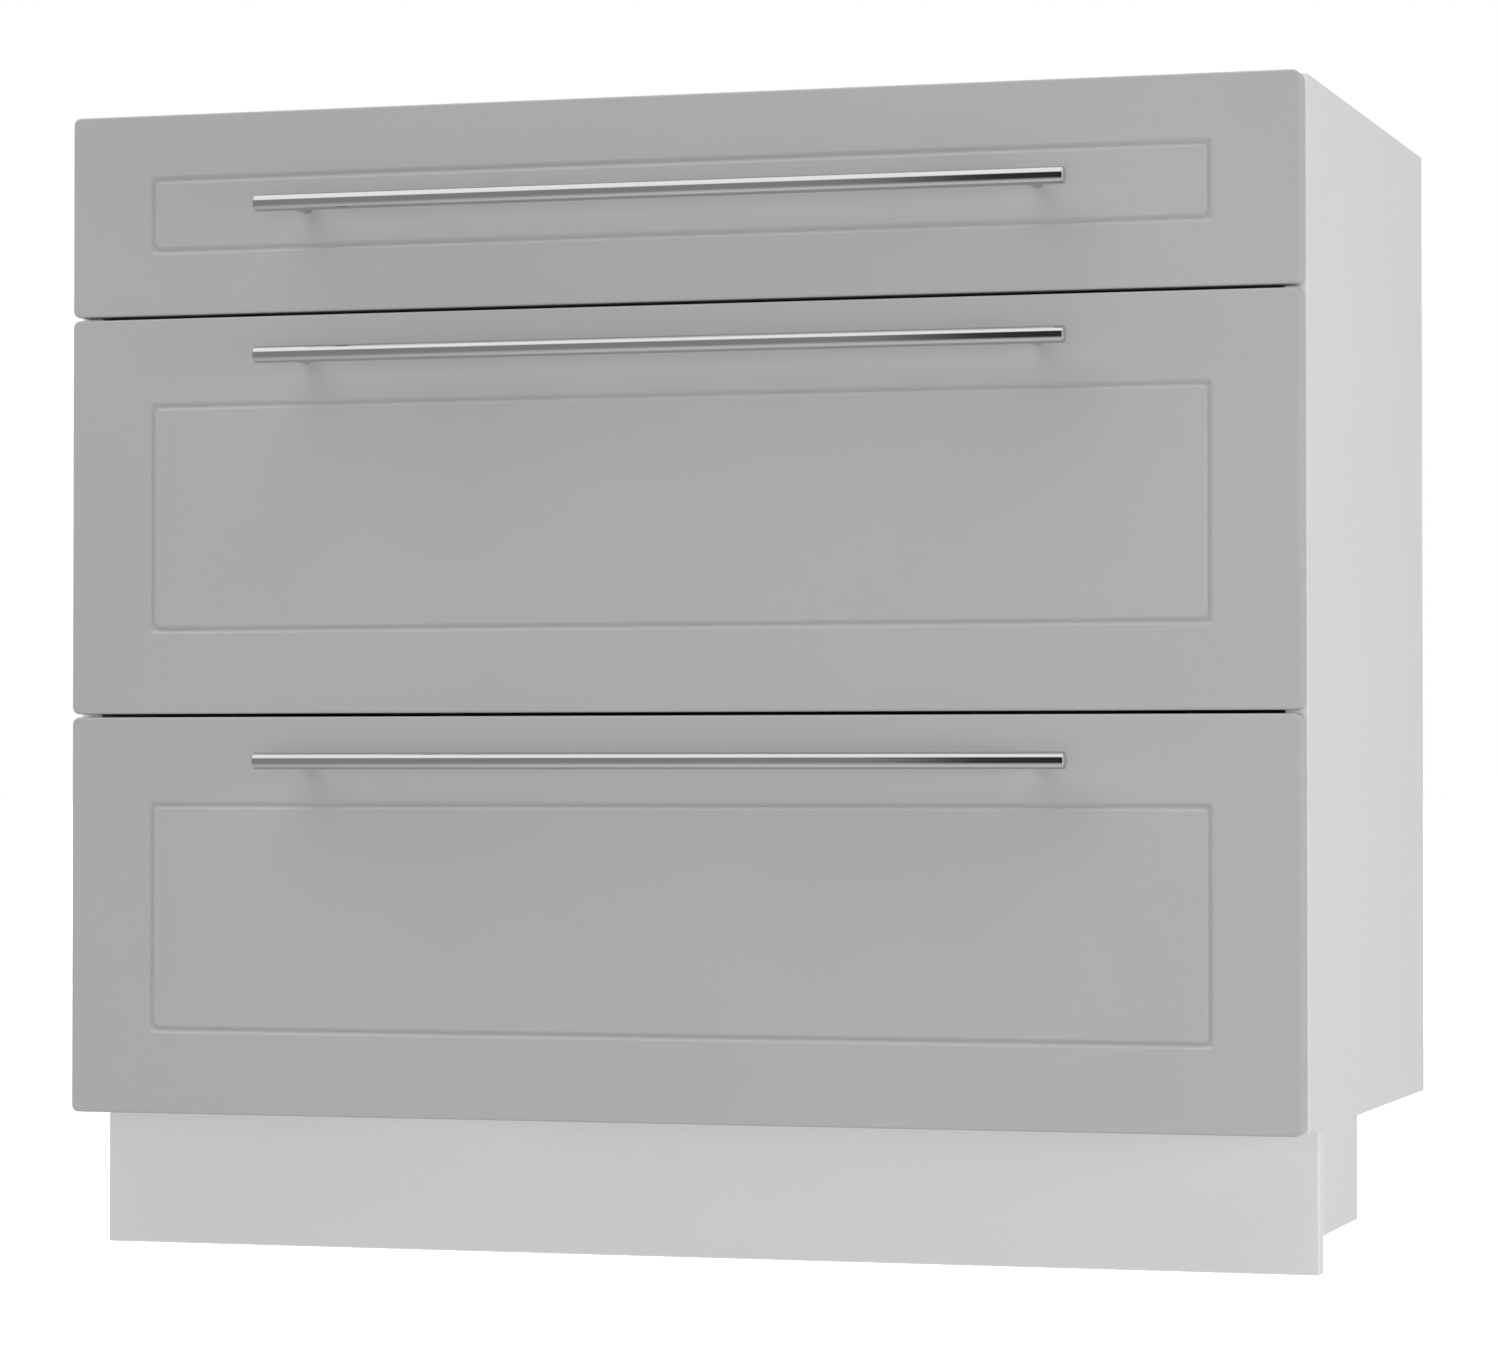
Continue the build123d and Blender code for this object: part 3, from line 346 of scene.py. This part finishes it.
def rubber_finish(name, colour):
    """Soft clear buffers: cloudy, with a slightly dull skin."""
    material, tree, shader, place = new_finish(name, IOR=1.46, Transmission_Weight=0.55)
    cloud = noise(tree, place, scale=700.0, detail=3.0)
    tree.links.new(two_tone(tree, spread(tree, cloud, 0.0, 1.0), shade(colour, 0.93), colour),
                   shader.inputs["Base Color"])
    tree.links.new(spread(tree, cloud, 0.22, 0.38), shader.inputs["Roughness"])
    relief(tree, [(cloud, 0.00003, 0.2)], shader)
    return material


def floor_finish(name, colour):
    """A pale seamless studio floor with a very faint mottling."""
    material, tree, shader, place = new_finish(name, IOR=1.4)
    cloud = noise(tree, place, scale=2.5, detail=4.0)
    tree.links.new(two_tone(tree, spread(tree, cloud, 0.0, 1.0), shade(colour, 0.995), colour),
                   shader.inputs["Base Color"])
    tree.links.new(spread(tree, cloud, 0.70, 0.80), shader.inputs["Roughness"])
    return material


# Dressing and turning


def dress(material, *nodes):
    """Gives a finish to the named parts of the frame."""
    for node in nodes:
        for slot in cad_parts[node].material_slots:
            slot.material = material


def each_drawer(*parts):
    """The parts' names on all three drawers."""
    return [f"{part}_{drawer}" for drawer in DRAWERS for part in parts]


def new_object(name, build):
    """A mesh object made by filling a bmesh, smooth except at its real edges."""
    mesh = bpy.data.meshes.new(name)
    shape = bmesh.new()
    build(shape)
    bmesh.ops.recalc_face_normals(shape, faces=shape.faces)
    shape.to_mesh(mesh)
    shape.free()
    mesh.polygons.foreach_set("use_smooth", [True] * len(mesh.polygons))
    mesh.set_sharp_from_angle(angle=SHARPEST_SMOOTH_EDGE)
    thing = bpy.data.objects.new(name, mesh)
    bpy.context.scene.collection.objects.link(thing)
    return thing


def turned_rod(shape, start, end, profile, segments):
    """A rod turned about the line from start to end.

    The profile has pairs of a distance along that line and the radius there.
    """
    along = (end - start).normalized()
    side = along.orthogonal().normalized()
    rings = []
    for distance, radius in profile:
        middle = start + along * distance
        ring = []
        for index in range(segments):
            turn = Matrix.Rotation(2.0 * math.pi * index / segments, 3, along)
            ring.append(shape.verts.new(middle + turn @ side * radius))
        rings.append(ring)
    for low, high in zip(rings, rings[1:]):
        for index in range(segments):
            after = (index + 1) % segments
            shape.faces.new((low[index], low[after], high[after], high[index]))
    shape.faces.new(rings[0])
    shape.faces.new(reversed(rings[-1]))


# Studio


def lay_floor(colour):
    """A wide disc that shows under the cabinet but throws no light or shadow on to it."""
    def disc(shape):
        bmesh.ops.create_circle(shape, cap_ends=True, radius=FLOOR_RADIUS,
                                segments=FLOOR_SEGMENTS)

    floor = new_object("studio_floor", disc)
    floor.data.materials.append(floor_finish("studio_floor", colour))
    floor.visible_glossy = False
    floor.visible_diffuse = False
    floor.visible_shadow = False
    return floor


def bar_reflections(tree, across, back, height):
    """What polished metal reflects, by the direction's parts to the right, to the back and up.

    A dim wall is dark at one end and brighter far out on both sides. It stands on a paler
    ground, and the edge of the bright ceiling over it leans from left to right.
    """
    heading = maths(tree, "ARCTAN2", across, maths(tree, "MULTIPLY", back, -1.0))
    leaning = maths(tree, "MULTIPLY_ADD", across, CEILING_LEAN, height)
    wall = blended(tree, smooth_step(tree, across, *DARK_END_EDGE), WALL, DARK_END)
    wall = blended(tree, smooth_step(tree, heading, *RIGHT_WALL_HEADING), wall, RIGHT_WALL)
    wall = blended(tree, smooth_step(tree, heading, *LEFT_WALL_HEADING), wall, LEFT_WALL)
    ground = blended(tree, smooth_step(tree, across, *GROUND_SIDE_EDGE), GROUND_LEFT,
                     GROUND_RIGHT)
    low = blended(tree, smooth_step(tree, height, *GROUND_EDGE), ground, wall)
    return blended(tree, smooth_step(tree, leaning, *CEILING_EDGE), low, CEILING)


def studio_surroundings(low_fill, high_fill, thrown):
    """White to the camera, even light on the boards, and a room of its own in the polished bars.

    The bars throw the last of the brightnesses on to the boards round them.
    """
    world = bpy.data.worlds.new("studio_surroundings")
    world.use_nodes = True
    tree = world.node_tree
    tree.nodes.clear()
    output = tree.nodes.new("ShaderNodeOutputWorld")
    split = tree.nodes.new("ShaderNodeSeparateXYZ")
    tree.links.new(tree.nodes.new("ShaderNodeTexCoord").outputs["Generated"],
                   split.inputs["Vector"])
    across, back, height = (split.outputs[axis] for axis in "XYZ")
    path = tree.nodes.new("ShaderNodeLightPath")
    direct = maths(tree, "LESS_THAN", path.outputs["Diffuse Depth"], FIRST_DIFFUSE_BOUNCE)
    glint = blended(tree, direct, thrown, bar_reflections(tree, across, back, height))
    even = blended(tree, smooth_step(tree, height, *FILL_EDGE), low_fill, high_fill)
    light = blended(tree, path.outputs["Is Glossy Ray"], even, glint)
    seen = blended(tree, path.outputs["Is Camera Ray"], light, 1.0)
    background = add_node(tree, "ShaderNodeBackground", Color=(1.0, 1.0, 1.0, 1.0))
    tree.links.new(seen, background.inputs["Strength"])
    tree.links.new(background.outputs["Background"], output.inputs["Surface"])
    return world


def studio_light(name, kind, place, power, **settings):
    """A lamp that shines from its place at the cabinet, and doesn't show in the gloss."""
    light = bpy.data.lights.new(name, kind)
    light.energy = power
    for key, value in settings.items():
        setattr(light, key, value)
    lamp = bpy.data.objects.new(name, light)
    lamp.location = place
    lamp.rotation_euler = (CABINET_MIDDLE - place).to_track_quat("-Z", "Y").to_euler()
    lamp.visible_glossy = False
    bpy.context.scene.collection.objects.link(lamp)
    return lamp


def sun_light(name, direction, power, **settings):
    """A sun lamp that shines on the cabinet from a direction."""
    return studio_light(name, "SUN", CABINET_MIDDLE + direction, power, **settings)


def link_light(lamp, state, *things):
    """Keeps a lamp's light to some things (INCLUDE) or off them (EXCLUDE)."""
    group = bpy.data.collections.new(f"{lamp.name}_receivers")
    for thing in things:
        group.objects.link(thing)
    for member in group.collection_objects:
        member.light_linking.link_state = state
    lamp.light_linking.receiver_collection = group


def light_cabinet(studio, floor):
    """Lights the cabinet softly from all round, and the floor by a lamp of its own."""
    key = sun_light("key_light", KEY_DIRECTION, studio.key_strength, angle=studio.key_spread)
    top = sun_light("top_light", TOP_DIRECTION, studio.top_strength, angle=TOP_SPREAD)
    link_light(key, "EXCLUDE", floor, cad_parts["plinth_front_board"])
    link_light(top, "EXCLUDE", floor)
    sun_light("front_light", FRONT_DIRECTION, studio.front_strength, angle=FRONT_SPREAD)
    studio_light("side_light", "AREA", SIDE_LIGHT_PLACE, studio.side_power, size=SIDE_LIGHT_SIZE)
    over_floor = sun_light("floor_light", STRAIGHT_UP, studio.floor_strength, use_shadow=False)
    link_light(over_floor, "INCLUDE", floor)
    on_edges = sun_light("edge_light", STRAIGHT_IN_FRONT, studio.edge_strength, use_shadow=False)
    link_light(on_edges, "INCLUDE", *(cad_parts[panel] for panel in SIDE_PANELS))


def set_camera(scene):
    """Puts the camera where the photograph was taken from, with a long lens."""
    lens = bpy.data.cameras.new("camera")
    lens.sensor_fit = "HORIZONTAL"
    lens.sensor_width = SENSOR_MM
    lens.lens = LENS_MM
    camera = bpy.data.objects.new("camera", lens)
    camera.location = CAMERA_PLACE
    camera.rotation_euler = (math.pi / 2.0 + CAMERA_PITCH, 0.0, CAMERA_YAW)
    scene.collection.objects.link(camera)
    scene.camera = camera


# Sizes and colours that a user would change


def colour_property(name, description, default):
    """A colour setting."""
    return bpy.props.FloatVectorProperty(name=name, description=description, default=default,
                                         subtype="COLOR", size=3, min=0.0, max=1.0)


def length_property(name, description, default):
    """A length setting in metres."""
    return bpy.props.FloatProperty(name=name, description=description, default=default,
                                   unit="LENGTH", min=0.0, precision=4)


def strength_property(name, description, default):
    """A brightness setting."""
    return bpy.props.FloatProperty(name=name, description=description, default=default, min=0.0)


class CabinetColours(bpy.types.PropertyGroup):
    """Colours of the boards, the fronts and the fittings"""

    board: colour_property(
        "Body boards", "Colour of the white faced body boards", (0.570, 0.570, 0.570))
    # The plinth boards have the body boards' white facing, painted lighter as a stand-in for light:
    # the plinth sits in shade under the fronts, and the key light is kept off its front board
    plinth: colour_property(
        "Plinth boards", "Colour of the white faced plinth boards", (0.617, 0.617, 0.617))
    hardboard: colour_property(
        "Back panel", "Colour of the lacquered hardboard back", (0.70, 0.70, 0.69))
    front: colour_property(
        "Drawer fronts", "Colour of the satin lacquer on the fronts", (0.337, 0.337, 0.337))
    drawer: colour_property(
        "Drawer boxes", "Colour of the foil on the drawer boxes", (0.70, 0.70, 0.69))
    handle: colour_property(
        "Handles", "Colour of the polished handle steel", (0.57, 0.57, 0.565))
    zinc: colour_property(
        "Slides and screws", "Colour of the zinc-plated steel", (0.60, 0.61, 0.62))
    cast: colour_property("Cam locks", "Colour of the die-cast zinc", (0.50, 0.50, 0.51))
    beech: colour_property("Dowels", "Colour of the beech dowels", (0.58, 0.40, 0.24))
    rubber: colour_property("Buffers", "Colour of the soft clear buffers", (0.82, 0.83, 0.82))


class HandleSizes(bpy.types.PropertyGroup):
    """Sizes of the three bar handles"""

    bar_diameter: length_property("Bar diameter", "Diameter of the three bar handles",
                                  BAR_DIAMETER)
    end_bevel: length_property("End bevel", "Bevel round each end of a bar", 0.0007)
    segments: bpy.props.IntProperty(name="Segments", description="Faces round a bar",
                                    default=64, min=12, max=256)


class FrontFinish(bpy.types.PropertyGroup):
    """How the drawer fronts shine"""

    roughness: bpy.props.FloatProperty(
        name="Roughness", description="How dull the lacquer of the fronts is", default=0.46,
        min=0.05, max=1.0, subtype="FACTOR")


class StudioLight(bpy.types.PropertyGroup):
    """Strengths of the studio's lamps and surroundings, and the floor's colour"""

    key_strength: strength_property("Key light", "Strength of the soft light from above", 1.2)
    key_spread: bpy.props.FloatProperty(
        name="Key light spread", description="How wide the soft light is",
        default=math.radians(43.0), min=0.0, max=math.pi, subtype="ANGLE")
    front_strength: strength_property(
        "Front light", "Strength of the low, wide front light", 0.60)
    top_strength: strength_property(
        "Top light", "Strength of the wide light straight above", 1.2)
    floor_strength: strength_property(
        "Floor light", "Strength of the light on the floor alone", 4.0)
    edge_strength: strength_property(
        "Edge light", "Strength of the light on the side panels' front edges", 0.55)
    side_power: bpy.props.FloatProperty(
        name="Side light", description="Power of the light on the right", default=34.0,
        min=0.0, unit="POWER")
    low_fill: strength_property("Low fill", "Brightness of the even light from below", 0.86)
    high_fill: strength_property("High fill", "Brightness of the even light from above", 0.46)
    thrown: strength_property(
        "Thrown light", "Brightness that polished metal throws back", 2.6)
    floor: colour_property("Floor", "Colour of the studio floor", (0.96, 0.96, 0.96))


# Operators, one for each piece or group of like pieces and one for the stage


class CABINET_OT_set_studio(bpy.types.Operator):
    """Sets the pale floor, the soft lights, the surroundings and the camera"""

    bl_idname = "cabinet.set_studio"
    bl_label = "Set the studio"

    def execute(self, context):
        scene = context.scene
        studio = scene.cabinet_studio
        light_cabinet(studio, lay_floor(studio.floor))
        scene.world = studio_surroundings(studio.low_fill, studio.high_fill, studio.thrown)
        set_camera(scene)
        scene.view_settings.view_transform = "Standard"
        return {"FINISHED"}


class CABINET_OT_dress_body(bpy.types.Operator):
    """Gives the side panels, the bottom and the top rails their white facing"""

    bl_idname = "cabinet.dress_body"
    bl_label = "Dress the body boards"

    def execute(self, context):
        dress(melamine_finish("white_board", context.scene.cabinet_colours.board), *BODY_BOARDS)
        return {"FINISHED"}


class CABINET_OT_dress_plinth(bpy.types.Operator):
    """Gives the four plinth boards their white facing, painted lighter than the body boards' to
    stand in for light the recessed plinth doesn't get
    """

    bl_idname = "cabinet.dress_plinth"
    bl_label = "Dress the plinth boards"

    def execute(self, context):
        # The same white facing as the body boards, painted lighter to stand in for the light that
        # the recessed plinth doesn't get
        facing = melamine_finish("plinth_board_painted_lighter", context.scene.cabinet_colours.plinth)
        dress(facing, *PLINTH_BOARDS)
        return {"FINISHED"}


class CABINET_OT_dress_back(bpy.types.Operator):
    """Gives the back panel its lacquered hardboard finish"""

    bl_idname = "cabinet.dress_back"
    bl_label = "Dress the back panel"

    def execute(self, context):
        hardboard = hardboard_finish("white_hardboard", context.scene.cabinet_colours.hardboard)
        dress(hardboard, "back_panel")
        return {"FINISHED"}


class CABINET_OT_dress_fronts(bpy.types.Operator):
    """Gives the three drawer fronts their grey satin lacquer"""

    bl_idname = "cabinet.dress_fronts"
    bl_label = "Dress the drawer fronts"

    def execute(self, context):
        scene = context.scene
        lacquer = lacquer_finish("grey_front", scene.cabinet_colours.front,
                                 scene.cabinet_fronts.roughness)
        dress(lacquer, *each_drawer("front"))
        return {"FINISHED"}


class CABINET_OT_make_handles(bpy.types.Operator):
    """Turns the three handle bars and finishes them and their posts in polished steel"""

    bl_idname = "cabinet.make_handles"
    bl_label = "Make the bar handles"

    def execute(self, context):
        scene = context.scene
        sizes = scene.cabinet_handles
        radius = sizes.bar_diameter / 2.0
        end_radius = radius - sizes.end_bevel
        steel = polished_finish("handle_steel", scene.cabinet_colours.handle,
                                HAIRLINES_ALONG_BAR, roughness=0.06)
        for drawer in DRAWERS:
            low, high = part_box(f"handle_bar_{drawer}")
            centre = (low + high) / 2.0
            length = high.x - low.x
            profile = [(0.0, end_radius), (sizes.end_bevel, radius),
                       (length - sizes.end_bevel, radius), (length, end_radius)]
            start = Vector((low.x, centre.y, centre.z))
            end = Vector((high.x, centre.y, centre.z))
            bar = new_object(f"bar_{drawer}",
                             lambda shape: turned_rod(shape, start, end, profile, sizes.segments))
            bar.data.materials.append(steel)
            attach(bar, f"drawer_{drawer}")
            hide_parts(f"handle_bar_{drawer}")
        dress(steel, *each_drawer("handle_posts"))
        return {"FINISHED"}


class CABINET_OT_dress_boxes(bpy.types.Operator):
    """Gives the drawer boxes and their bottoms their foils"""

    bl_idname = "cabinet.dress_boxes"
    bl_label = "Dress the drawer boxes"

    def execute(self, context):
        colour = context.scene.cabinet_colours.drawer
        across = foil_finish("drawer_board_across", colour, FOIL_GRAIN_ACROSS)
        deep = foil_finish("drawer_board_deep", colour, FOIL_GRAIN_DEEP)
        bottom = foil_finish("drawer_bottom", shade(colour, 0.97), BOTTOM_GRAIN_DEEP)
        dress(across, *each_drawer("box_front", "box_back"))
        dress(deep, *each_drawer("box_left", "box_right"))
        dress(bottom, *each_drawer("box_bottom"))
        return {"FINISHED"}


class CABINET_OT_dress_slides(bpy.types.Operator):
    """Gives the slide members and the ball cages their zinc plating"""

    bl_idname = "cabinet.dress_slides"
    bl_label = "Dress the slides"

    def execute(self, context):
        colour = context.scene.cabinet_colours.zinc
        member = plated_finish("slide_steel", colour, DRAWN_DEEP, roughness=0.30)
        cage = plated_finish("cage_steel", shade(colour, 0.85), DRAWN_DEEP, roughness=0.24)
        dress(member, "cabinet_slide_members", *each_drawer(*SLIDE_MEMBERS))
        dress(cage, *each_drawer(*BALL_CAGES))
        return {"FINISHED"}


class CABINET_OT_dress_fittings(bpy.types.Operator):
    """Finishes the brackets, screws, cams, dowels and buffers"""

    bl_idname = "cabinet.dress_fittings"
    bl_label = "Dress the fittings"

    def execute(self, context):
        colours = context.scene.cabinet_colours
        bracket = plated_finish("bracket_steel", shade(colours.zinc, 0.96), DRAWN_ACROSS,
                                roughness=0.34)
        screw = plated_finish("screw_steel", shade(colours.zinc, 1.04), DRAWN_EVENLY,
                              roughness=0.26)
        dress(bracket, "plinth_brackets")
        dress(screw, "bracket_screws", "cam_bolts", "slide_screws",
              *each_drawer("box_screws", "handle_screws"))
        dress(cast_finish("cam_zinc", colours.cast), "cam_locks")
        dress(beech_finish("beech", colours.beech), "wooden_dowels")
        dress(rubber_finish("clear_rubber", colours.rubber), "front_bumpers")
        return {"FINISHED"}


class CABINET_PT_steps(bpy.types.Panel):
    """Lists the sizes, the colours and the steps that dress the cabinet"""

    bl_idname = "CABINET_PT_steps"
    bl_label = "Base cabinet"
    bl_space_type = "VIEW_3D"
    bl_region_type = "UI"
    bl_category = "Cabinet"

    def draw(self, context):
        layout = self.layout
        for group in SETTINGS:
            box = layout.box()
            settings = getattr(context.scene, group)
            for name in SETTINGS[group].__annotations__:
                box.prop(settings, name)
        for step in STEPS:
            layout.operator(step.bl_idname)


SETTINGS = {
    "cabinet_colours": CabinetColours,
    "cabinet_handles": HandleSizes,
    "cabinet_fronts": FrontFinish,
    "cabinet_studio": StudioLight,
}
STEPS = (
    CABINET_OT_set_studio,
    CABINET_OT_dress_body,
    CABINET_OT_dress_plinth,
    CABINET_OT_dress_back,
    CABINET_OT_dress_fronts,
    CABINET_OT_make_handles,
    CABINET_OT_dress_boxes,
    CABINET_OT_dress_slides,
    CABINET_OT_dress_fittings,
)


def register():
    """Adds the settings, the operators and the panel to Blender."""
    for group in (*SETTINGS.values(), *STEPS, CABINET_PT_steps):
        bpy.utils.register_class(group)
    for name, group in SETTINGS.items():
        setattr(bpy.types.Scene, name, bpy.props.PointerProperty(type=group))


def unregister():
    """Takes them away again."""
    for name in SETTINGS:
        delattr(bpy.types.Scene, name)
    for group in (CABINET_PT_steps, *STEPS, *SETTINGS.values()):
        bpy.utils.unregister_class(group)


def main():
    """Takes every step in order."""
    register()
    for step in STEPS:
        family, name = step.bl_idname.split(".")
        getattr(getattr(bpy.ops, family), name)()


if __name__ == "__main__":
    main()
